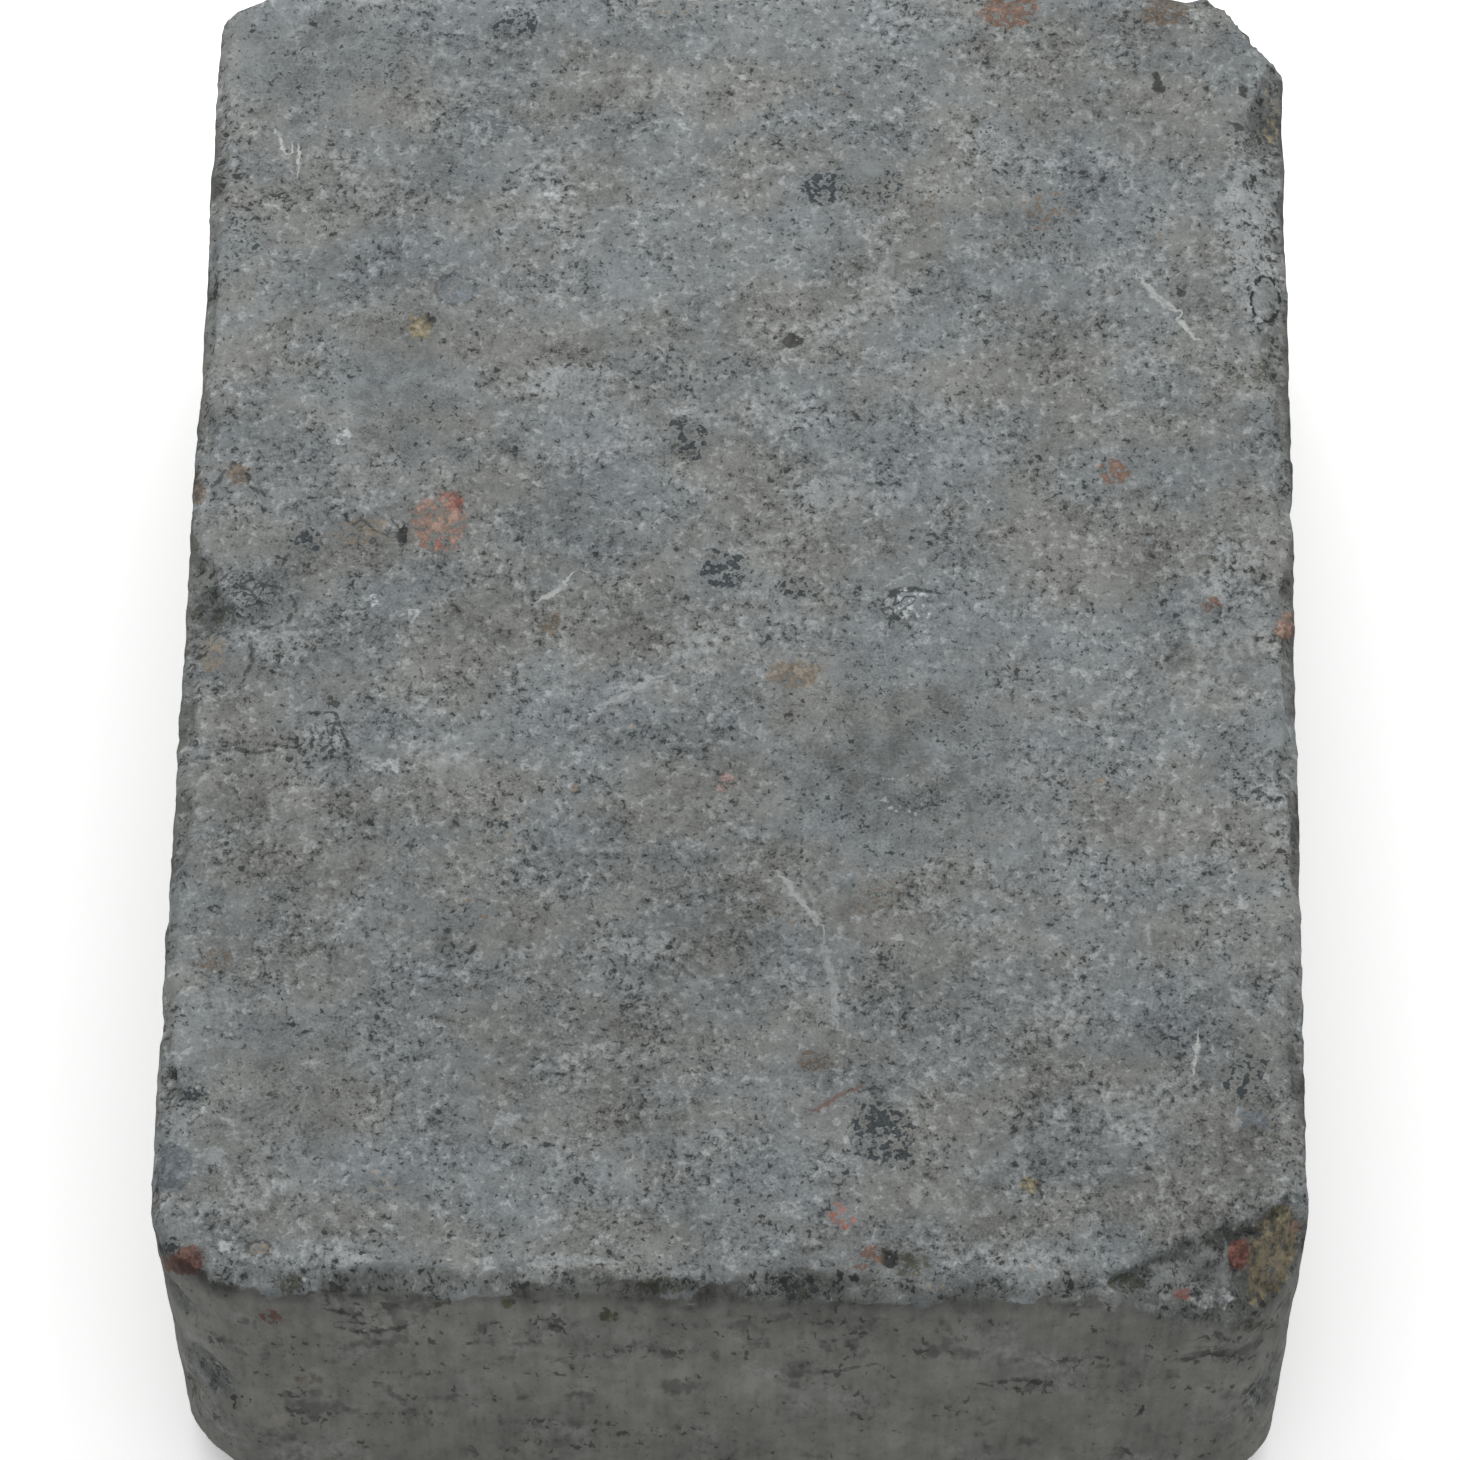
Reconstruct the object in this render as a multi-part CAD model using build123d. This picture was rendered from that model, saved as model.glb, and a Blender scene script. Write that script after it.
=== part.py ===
from build123d import *
import os
from dataclasses import dataclass
from math import cos, radians, sin

# Tumbled concrete paving stone, pressed in a mould as one block and then rumbled in a drum.
# It lies as it is laid in a path: bed face on Z = 0, wearing face up, length along Y, front end at -Y.
# Sizes are in millimetres, angles in degrees.

# Driving sizes of the block as it leaves the mould
stone_length = 160.0
stone_width = 120.0
stone_thickness = 60.0

# Upright corners, rounded by the mould and by wear
front_left_corner_radius = 10.5
front_right_corner_radius = 10.0
back_right_corner_radius = 7.5
back_left_corner_radius = 8.5

# Arrises round the wearing face and round the bed face
wearing_arris_radius = 2.2
bed_arris_radius = 5.0

# A chip of full size: its length along the arris and its depth below the worn edge
chip_length = 20.0
chip_bite = 2.0

# A knocked-off corner of full size: how far the break lies below the sharp corner, and its hollow's radius
knock_reach = 8.0
knock_hollow = 32.0

# The spall that took the front right corner of the wearing face: where it meets the two arrises and the
# upright corner, and how far its scoop lies below the flat through those three points
spall_along_front = 22.0
spall_along_side = 11.0
spall_depth = 12.0
spall_scoop = 1.7

# Chips on each arris: place along it, length, bite, and lean (0 breaks the side face, 1 the level one).
# A place is a share of the arris, a length or bite one of a full-size chip, and a lean one of a right angle.
front_wearing_shares = (
    (0.140, 1.40, 0.22, 0.60),
    (0.215, 0.95, 0.60, 0.40),
    (0.305, 0.30, 0.50, 0.55),
    (0.390, 1.80, 0.20, 0.36),
    (0.372, 0.40, 0.50, 0.50),
    (0.565, 0.85, 0.75, 0.44),
    (0.640, 2.20, 0.24, 0.62),
    (0.722, 0.55, 0.42, 0.42),
    (0.790, 0.36, 0.50, 0.55),
)
left_wearing_shares = (
    (0.070, 0.90, 0.30, 0.30),
    (0.135, 0.36, 0.60, 0.55),
    (0.200, 1.70, 0.26, 0.40),
    (0.330, 0.60, 0.55, 0.52),
    (0.420, 2.20, 0.24, 0.60),
    (0.492, 0.70, 1.10, 0.58),
    (0.628, 0.36, 0.60, 0.60),
    (0.725, 1.60, 0.40, 0.30),
    (0.860, 1.80, 0.26, 0.55),
)
right_wearing_shares = (
    (0.210, 1.60, 0.30, 0.46),
    (0.385, 0.40, 0.55, 0.55),
    (0.440, 2.40, 0.26, 0.40),
    (0.505, 0.36, 0.50, 0.45),
    (0.620, 1.50, 0.30, 0.58),
    (0.702, 0.40, 0.75, 0.62),
    (0.830, 1.95, 0.95, 0.66),
    (0.885, 0.60, 1.25, 0.62),
)
back_wearing_shares = (
    (0.160, 1.40, 0.26, 0.45),
    (0.240, 0.62, 0.60, 0.45),
    (0.360, 0.36, 0.50, 0.55),
    (0.480, 0.95, 0.70, 0.48),
    (0.600, 2.00, 0.24, 0.58),
    (0.735, 0.52, 0.80, 0.56),
    (0.905, 0.60, 0.75, 0.50),
)
front_bed_shares = (
    (0.240, 0.80, 0.70, 0.50),
    (0.610, 1.00, 0.90, 0.52),
)
left_bed_shares = (
    (0.390, 1.10, 0.90, 0.52),
    (0.790, 0.70, 0.70, 0.44),
)
right_bed_shares = (
    (0.210, 0.80, 0.75, 0.50),
    (0.560, 0.60, 0.95, 0.54),
)
back_bed_shares = (
    (0.370, 0.90, 0.80, 0.46),
    (0.790, 0.65, 0.85, 0.50),
)
front_left_upright_shares = (
    (0.500, 0.75, 0.50, 0.60),
    (0.780, 0.36, 0.60, 0.45),
)
front_right_upright_shares = (
    (0.420, 0.60, 0.50, 0.45),
)
back_right_upright_shares = (
    (0.350, 0.70, 0.70, 0.50),
)
back_left_upright_shares = (
    (0.560, 0.80, 0.65, 0.52),
)

# Knocked-off corners: sides of the stone (X, Y, Z), reach of the break, and its lean along X, Y and Z.
# A reach is a share of a full-size knock, and the leans are shares of the direction that the break faces.
knock_shares = (
    ((1, 1, 1), 0.85, (0.85, 0.46, 0.24)),
    ((1, 1, 1), 0.52, (0.15, 0.88, 0.45)),
    ((-1, 1, 1), 0.64, (0.45, 0.80, 0.41)),
    ((-1, -1, -1), 0.98, (0.58, 0.52, 0.62)),
    ((1, -1, -1), 0.94, (0.52, 0.60, 0.60)),
    ((1, 1, -1), 0.86, (0.56, 0.58, 0.59)),
    ((-1, 1, -1), 0.90, (0.60, 0.54, 0.58)),
)


@dataclass
class Arris:
    """A sharp edge of the block before wear: its ends, its faces' outward normals and its worn radius."""

    start: Vector
    end: Vector
    side: Vector
    level: Vector
    radius: float


def block():
    """The block with its upright corners and the arrises of its two level faces rounded."""
    half_width, half_length = stone_width / 2, stone_length / 2
    outline = Rectangle(stone_width, stone_length)
    for x, y, radius in (
        (-half_width, -half_length, front_left_corner_radius),
        (half_width, -half_length, front_right_corner_radius),
        (half_width, half_length, back_right_corner_radius),
        (-half_width, half_length, back_left_corner_radius),
    ):
        outline = fillet(outline.vertices().sort_by_distance((x, y, 0))[0], radius)
    body = extrude(outline, stone_thickness)
    body = fillet(body.faces().sort_by(Axis.Z)[-1].edges(), wearing_arris_radius)
    return fillet(body.faces().sort_by(Axis.Z)[0].edges(), bed_arris_radius)


def level_arrises(height, up, radius):
    """The four arrises of one level face, by name."""
    x, y = stone_width / 2, stone_length / 2
    level = Vector(0, 0, up)
    ends = {
        "front": ((-x, -y), (x, -y), (0, -1)),
        "back": ((-x, y), (x, y), (0, 1)),
        "left": ((-x, -y), (-x, y), (-1, 0)),
        "right": ((x, -y), (x, y), (1, 0)),
    }
    return {
        name: Arris(Vector(*start, height), Vector(*end, height), Vector(*side, 0), level, radius)
        for name, (start, end, side) in ends.items()
    }


def upright_arris(x_side, y_side, radius):
    """The upright arris at one corner of the plan, from the bed to the wearing face."""
    foot = Vector(x_side * stone_width / 2, y_side * stone_length / 2, 0)
    head = foot + Vector(0, 0, stone_thickness)
    return Arris(foot, head, Vector(x_side, 0, 0), Vector(0, y_side, 0), radius)


def ball(centre, outward, across, radius):
    """A ball turned so that its seam and its poles lie outside the stone that it breaks."""
    return Plane(centre, x_dir=outward, z_dir=across) * Sphere(radius)


def chip_tool(arris, place_share, length_share, bite_share, lean_share):
    """The ball that breaks one shell-shaped chip out of an arris."""
    half_length = chip_length * length_share / 2
    bite = chip_bite * bite_share
    hollow = (half_length**2 + bite**2) / (2 * bite)
    lean = radians(90 * lean_share)
    outward = arris.side * cos(lean) + arris.level * sin(lean)
    # The worn edge is an arc inside the sharp one. The ball reaches one bite below it.
    sharp = arris.start + (arris.end - arris.start) * place_share
    arc_centre = sharp - (arris.side + arris.level) * arris.radius
    centre = arc_centre + outward * (arris.radius + hollow - bite)
    return ball(centre, outward, arris.end - arris.start, hollow)


def knock_tool(sides, reach_share, lean_shares):
    """The ball that knocks one corner off the block."""
    corner = Vector(
        sides[0] * stone_width / 2,
        sides[1] * stone_length / 2,
        stone_thickness if sides[2] > 0 else 0,
    )
    outward = Vector(*(side * lean for side, lean in zip(sides, lean_shares))).normalized()
    centre = corner + outward * (knock_hollow - knock_reach * reach_share)
    return ball(centre, outward, outward.cross(Vector(0, 0, 1)), knock_hollow)


def spall_tool():
    """The ball that breaks the large spall out of the front right corner of the wearing face."""
    corner = Vector(stone_width / 2, -stone_length / 2, stone_thickness)
    on_front = corner - Vector(spall_along_front, 0, 0)
    on_side = corner + Vector(0, spall_along_side, 0)
    below = corner - Vector(0, 0, spall_depth)
    # A ball through these three points, with its scoop below their plane
    to_front, to_side = on_front - below, on_side - below
    normal = to_side.cross(to_front)
    spread = to_front * to_side.length**2 - to_side * to_front.length**2
    to_middle = spread.cross(normal) / (2 * normal.length**2)
    hollow = (to_middle.length**2 + spall_scoop**2) / (2 * spall_scoop)
    centre = below + to_middle + normal.normalized() * (hollow - spall_scoop)
    return ball(centre, normal, to_front - to_side, hollow)


def paving_stone():
    """The whole stone: the worn block, less its chips, knocked-off corners and spall."""
    wearing = level_arrises(stone_thickness, 1, wearing_arris_radius)
    bed = level_arrises(0, -1, bed_arris_radius)
    worn = [
        (wearing["front"], front_wearing_shares),
        (wearing["left"], left_wearing_shares),
        (wearing["right"], right_wearing_shares),
        (wearing["back"], back_wearing_shares),
        (bed["front"], front_bed_shares),
        (bed["left"], left_bed_shares),
        (bed["right"], right_bed_shares),
        (bed["back"], back_bed_shares),
        (upright_arris(-1, -1, front_left_corner_radius), front_left_upright_shares),
        (upright_arris(1, -1, front_right_corner_radius), front_right_upright_shares),
        (upright_arris(1, 1, back_right_corner_radius), back_right_upright_shares),
        (upright_arris(-1, 1, back_left_corner_radius), back_left_upright_shares),
    ]
    tools = [chip_tool(arris, *shares) for arris, chips in worn for shares in chips]
    tools += [knock_tool(*shares) for shares in knock_shares]
    tools.append(spall_tool())
    stone = block()
    for tool in tools:
        stone -= tool
    return stone


os.makedirs("parts", exist_ok=True)
export_step(paving_stone(), "parts/paving_stone.step")
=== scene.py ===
"""A tumbled concrete paving stone, dressed over its CAD solid and set in a plain studio."""

import logging
import math
from dataclasses import asdict, dataclass, field
from enum import Enum
from functools import partial, reduce
from typing import Any

import bpy
import numpy as np
from mathutils import Matrix, Vector
from mathutils.bvhtree import BVHTree


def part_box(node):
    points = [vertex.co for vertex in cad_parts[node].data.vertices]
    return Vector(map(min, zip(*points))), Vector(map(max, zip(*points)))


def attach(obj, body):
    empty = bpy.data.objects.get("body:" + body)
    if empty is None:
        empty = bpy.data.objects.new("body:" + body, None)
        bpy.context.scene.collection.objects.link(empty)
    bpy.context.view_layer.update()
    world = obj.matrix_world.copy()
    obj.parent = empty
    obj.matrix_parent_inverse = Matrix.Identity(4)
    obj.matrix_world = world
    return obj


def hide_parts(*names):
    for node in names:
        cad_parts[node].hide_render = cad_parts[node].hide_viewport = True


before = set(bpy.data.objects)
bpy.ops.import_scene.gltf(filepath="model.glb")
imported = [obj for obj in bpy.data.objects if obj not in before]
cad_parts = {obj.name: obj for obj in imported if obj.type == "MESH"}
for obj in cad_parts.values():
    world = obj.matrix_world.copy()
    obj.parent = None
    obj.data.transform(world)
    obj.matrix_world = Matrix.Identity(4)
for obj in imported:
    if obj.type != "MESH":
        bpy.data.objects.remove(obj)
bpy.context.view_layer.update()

LOG = logging.getLogger("paving_stone")
NODE = "paving_stone"
MM = 0.001
PER_MM = 1000.0

# How far the mould drew the noises out upright, and how much of its skin is gone where the stone broke
MOULD_DRAG = 0.45
SKIN_LOST = 0.85

# How far apart two noises are read whose seeds differ by one
SEED_STEP = (17.3, -91.7, 53.9)

# A distance from a mark at which it is not felt, in millimetres or in widths of a crack
FAR = 9.0

Colour = tuple[float, float, float, float]
Pixel = tuple[float, float]
Points = np.ndarray
Socket = bpy.types.NodeSocket


def srgb(red: int, green: int, blue: int) -> Colour:
    """Turn an eight-bit display colour into the linear colour that a shader takes.

    Args:
        red: Red, 0 to 255.
        green: Green, 0 to 255.
        blue: Blue, 0 to 255.

    Returns:
        The linear colour with full alpha.
    """
    shares = [value / 255 for value in (red, green, blue)]
    linear = [s / 12.92 if s <= 0.04045 else ((s + 0.055) / 1.055) ** 2.4 for s in shares]
    return (linear[0], linear[1], linear[2], 1.0)


def eased(values: Points, low: float, high: float) -> Points:
    """Ease values from 0 at low to 1 at high."""
    share = np.clip((values - low) / (high - low), 0, 1)
    return share * share * (3 - 2 * share)


@dataclass
class NodeSheet:
    """A node tree that is written as a list of steps."""

    tree: bpy.types.NodeTree

    def feed(self, socket: Socket, value: Any) -> None:
        """Link a socket to the socket given, or set it to the value given.

        Args:
            socket: The input to feed.
            value: A socket or a plain value.
        """
        if isinstance(value, bpy.types.NodeSocket):
            self.tree.links.new(value, socket)
        else:
            socket.default_value = value

    def add(self, kind: str, feeds: dict[str | int, Any] | None = None, **settings: Any) -> bpy.types.Node:
        """Place one node.

        Args:
            kind: Blender's name for the node.
            feeds: Sockets or values for the node's inputs, by name or number.
            **settings: Properties of the node.

        Returns:
            The node.
        """
        node = self.tree.nodes.new(kind)
        for name, value in settings.items():
            setattr(node, name, value)
        for key, value in (feeds or {}).items():
            self.feed(node.inputs[key], value)
        return node

    def math(self, operation: str, *values: Any) -> Socket:
        """Work out one sum, by Blender's name for it."""
        return self.add("ShaderNodeMath", dict(enumerate(values)), operation=operation).outputs[0]

    def vector(self, operation: str, *values: Any) -> Socket:
        """Work out one vector sum.

        Args:
            operation: Blender's name for the sum.
            *values: Its operands.

        Returns:
            The result, a vector or, for a distance or a dot product, a value.
        """
        node = self.add("ShaderNodeVectorMath", operation=operation)
        for number, value in enumerate(values):
            self.feed(node.inputs["Scale" if operation == "SCALE" and number else number], value)
        return node.outputs["Value" if operation in ("DISTANCE", "DOT_PRODUCT") else "Vector"]

    def total(self, *values: Any) -> Socket:
        """Add any number of values."""
        return reduce(partial(self.math, "ADD"), values)

    def product(self, *values: Any) -> Socket:
        """Multiply any number of values."""
        return reduce(partial(self.math, "MULTIPLY"), values)

    def weighed(self, *parts: tuple[Any, Any]) -> Socket:
        """Add any number of values, each times its weight."""
        return self.total(*(self.product(value, weight) for value, weight in parts))

    def ease(self, value: Any, low: Any, high: Any, start: Any = 0.0, end: Any = 1.0) -> Socket:
        """Ease a value from start at low to end at high."""
        feeds = {"Value": value, "From Min": low, "From Max": high, "To Min": start, "To Max": end}
        return self.add("ShaderNodeMapRange", feeds, interpolation_type="SMOOTHSTEP").outputs[0]

    def between(self, share: Any, first: Any, second: Any) -> Socket:
        """Mix two values, by the share of the second."""
        return self.add("ShaderNodeMix", {0: share, 2: first, 3: second}, data_type="FLOAT").outputs[0]

    def blend(self, share: Any, first: Any, second: Any) -> Socket:
        """Mix two colours, by the share of the second."""
        return self.add("ShaderNodeMix", {0: share, 6: first, 7: second}, data_type="RGBA").outputs[2]

    def shaded(self, colour: Any, shade: Any) -> Socket:
        """Multiply the light of a colour."""
        return self.vector("SCALE", colour, shade)

    def noise(self, place: Any, per_mm: float, detail: float, rough: float, seed: float) -> bpy.types.Node:
        """Place a noise texture.

        Args:
            place: Where it is read, in millimetres.
            per_mm: Its waves to the millimetre.
            detail: How many finer layers it has.
            rough: How strong the finer layers are.
            seed: Which of many such noises it is.

        Returns:
            The texture's node.
        """
        moved = self.vector("ADD", place, tuple(step * seed for step in SEED_STEP))
        feeds = {"Vector": moved, "Scale": per_mm, "Detail": detail, "Roughness": rough}
        return self.add("ShaderNodeTexNoise", feeds, noise_dimensions="3D")

    def swing(self, place: Any, per_mm: float, detail: float, rough: float, seed: float) -> Socket:
        """Place a noise texture and spread its value about zero."""
        return self.spread(self.noise(place, per_mm, detail, rough, seed).outputs[0])

    def spread(self, noise: Socket) -> Socket:
        """Spread a noise's value about zero, from about -1 to 1."""
        return self.math("MULTIPLY_ADD", noise, 4.0, -2.0)

    def carried(self, name: str, output: str = "Fac") -> Socket:
        """Read what the stone's points carry under a name, in a shader."""
        return self.add("ShaderNodeAttribute", attribute_name=name).outputs[output]


class Tone(Enum):
    """Colours of what lies in and on the concrete, and painted shade and dirt for its hollows."""

    SLATE = srgb(52, 59, 63)
    BLUE_GREY = srgb(111, 118, 123)
    BROWN = srgb(112, 102, 92)
    RUST = srgb(122, 98, 86)
    BRICK = srgb(119, 88, 79)
    RED = srgb(152, 104, 94)
    CORAL = srgb(152, 126, 114)
    PINK = srgb(174, 148, 144)
    OCHRE = srgb(146, 137, 114)
    TAN = srgb(136, 128, 116)
    OLIVE = srgb(82, 84, 75)
    MOSS = srgb(94, 100, 76)
    SHADE = srgb(104, 107, 106)
    PASTE = srgb(126, 129, 129)
    MILK = srgb(147, 150, 150)
    CHALK = srgb(172, 175, 176)
    SCRATCH = srgb(206, 208, 205)
    # The last two are painted shade and dirt: the dark of pores, pits, cracks, rims and holes.
    PIT = srgb(52, 55, 54)
    HOLE = srgb(64, 65, 61)


STRAY_TONES: tuple[Tone, ...] = (
    Tone.SLATE,
    Tone.SHADE,
    Tone.BROWN,
    Tone.TAN,
    Tone.PASTE,
    Tone.BLUE_GREY,
    Tone.MILK,
    Tone.BROWN,
)


@dataclass(frozen=True)
class Pebble:
    """A pebble or a hole that the photograph shows.

    Its place is a pixel of the photograph, its width and height are in pixels there, and its turn is in
    degrees. It rises in millimetres, or sinks below zero. Cement leaves the bare share of it uncovered, and
    its rim is how dark a line runs round it.
    """

    at: Pixel
    size: Pixel
    tone: Tone
    bare: float = 0.6
    rim: float = 0.0
    rise: float = 0.1
    turn: float = 0.0


@dataclass(frozen=True)
class Smear:
    """A pale film of cement, a coloured stain, a painted shadow or, in the tone of pits, crowded pores.

    It is placed as a pebble is, and its amount is how far it covers what lies under it.
    """

    at: Pixel
    size: Pixel
    tone: Tone = Tone.MILK
    amount: float = 0.5
    turn: float = 0.0


@dataclass(frozen=True)
class CrackOrShadowLine:
    """A crack, a scratch or a painted shadow line along pixels of the photograph; width and depth are in
    millimetres.
    """

    path: tuple[Pixel, ...]
    width: float = 0.3
    depth: float = 0.12
    amount: float = 0.65
    tone: Tone = Tone.PIT


@dataclass
class PhotoCamera:
    """The photograph's camera, fitted to the stone's outline. Lengths are in metres, angles in degrees."""

    frame_pixels: float = 1460.0
    focal_pixels: float = 6875.0
    centre_pixel: Pixel = (740.45, 729.83)
    distance: float = 0.7696
    elevation: float = 63.056
    azimuth: float = 1.214
    roll: float = -0.252
    target: tuple[float, float, float] = (0.0, 0.0, 0.030)
    sensor: float = 36.0
    clip_start: float = 0.01

    def axes(self) -> tuple[Points, Points, Points]:
        """Find how the camera is turned.

        Returns:
            Its right, up and backward directions.
        """
        rise, turn, roll = (math.radians(a) for a in (self.elevation, self.azimuth, self.roll))
        level = math.cos(rise)
        back = np.array((math.sin(turn) * level, -math.cos(turn) * level, math.sin(rise)))
        across = np.cross(-back, (0, 0, 1))
        across /= np.linalg.norm(across)
        over = np.cross(across, -back)
        right = math.cos(roll) * across + math.sin(roll) * over
        up = math.cos(roll) * over - math.sin(roll) * across
        return right, up, back

    def place(self) -> Points:
        """Find where the camera stands, in metres."""
        return np.array(self.target) + self.axes()[2] * self.distance

    def project(self, points: Points) -> Points:
        """Find the pixels at which points show.

        Args:
            points: Points in metres, one to a row.

        Returns:
            Their pixels in the photograph's frame, one to a row.
        """
        right, up, back = self.axes()
        offset = points - self.place()
        depth = offset @ -back
        across = self.centre_pixel[0] + self.focal_pixels * (offset @ right) / depth
        down = self.centre_pixel[1] - self.focal_pixels * (offset @ up) / depth
        return np.stack([across, down], 1)

    def build(self) -> bpy.types.Object:
        """Make the camera and look through it.

        Returns:
            The camera.
        """
        data = bpy.data.cameras.new("photo_camera")
        data.sensor_width = self.sensor
        data.lens = self.focal_pixels / self.frame_pixels * self.sensor
        half = self.frame_pixels / 2
        data.shift_x = (half - self.centre_pixel[0]) / self.frame_pixels
        data.shift_y = (self.centre_pixel[1] - half) / self.frame_pixels
        data.clip_start = self.clip_start
        camera = bpy.data.objects.new("photo_camera", data)
        bpy.context.scene.collection.objects.link(camera)
        turned = Matrix([Vector(axis) for axis in self.axes()]).transposed().to_4x4()
        camera.matrix_world = Matrix.Translation(Vector(self.place())) @ turned
        bpy.context.scene.camera = camera
        return camera


@dataclass
class Studio:
    """A pale floor and soft light from above and behind."""

    floor_size: float = 6.0
    floor_colour: Colour = srgb(214, 214, 214)
    floor_roughness: float = 0.9
    seen_colour: Colour = (1.6, 1.6, 1.6, 1.0)
    sky_strength: float = 0.48
    seen_strength: float = 1.0
    key_place: tuple[float, float, float] = (0.0, 0.45, 0.75)
    key_width: float = 2.0
    key_depth: float = 0.6
    key_power: float = 6.2

    def build(self) -> None:
        """Make the floor, the lamp and the sky."""
        self.floor()
        self.key_lamp()
        self.sky()
        bpy.context.scene.view_settings.view_transform = "Standard"

    def floor(self) -> None:
        """Lay the floor, which the camera sees as white but for the stone's shadow."""
        half = self.floor_size / 2
        mesh = bpy.data.meshes.new("floor")
        corners = [(-half, -half, 0), (half, -half, 0), (half, half, 0), (-half, half, 0)]
        mesh.from_pydata(corners, [], [(0, 1, 2, 3)])
        material = bpy.data.materials.new("pale_floor")
        material.use_nodes = True
        sheet = NodeSheet(material.node_tree)
        shader = material.node_tree.nodes["Principled BSDF"]
        shader.inputs["Roughness"].default_value = self.floor_roughness
        shader.inputs["Specular IOR Level"].default_value = 0.0
        seen = sheet.add("ShaderNodeLightPath").outputs["Is Camera Ray"]
        sheet.feed(shader.inputs["Base Color"], sheet.blend(seen, self.floor_colour, self.seen_colour))
        mesh.materials.append(material)
        floor = bpy.data.objects.new("floor", mesh)
        bpy.context.scene.collection.objects.link(floor)

    def key_lamp(self) -> None:
        """Hang the broad soft lamp over the back of the stone."""
        data = bpy.data.lights.new("key_lamp", "AREA")
        data.shape = "RECTANGLE"
        data.size = self.key_width
        data.size_y = self.key_depth
        data.energy = self.key_power
        lamp = bpy.data.objects.new("key_lamp", data)
        lamp.location = self.key_place
        lamp.rotation_euler = (-Vector(self.key_place)).to_track_quat("-Z", "Y").to_euler()
        bpy.context.scene.collection.objects.link(lamp)

    def sky(self) -> None:
        """Fill the room with even light."""
        world = bpy.data.worlds.new("studio")
        world.use_nodes = True
        sheet = NodeSheet(world.node_tree)
        background = world.node_tree.nodes["Background"]
        background.inputs["Color"].default_value = (1.0, 1.0, 1.0, 1.0)
        seen = sheet.add("ShaderNodeLightPath").outputs["Is Camera Ray"]
        sheet.feed(background.inputs["Strength"], sheet.between(seen, self.sky_strength, self.seen_strength))
        bpy.context.scene.world = world


@dataclass(frozen=True)
class Texture:
    """The noises of a concrete surface and what it is made of, as values in a material's tree."""

    sand: Socket
    grain: Socket
    dust: Socket
    wave: Socket
    drawn: Socket
    skin: Socket
    broken: Socket


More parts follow.
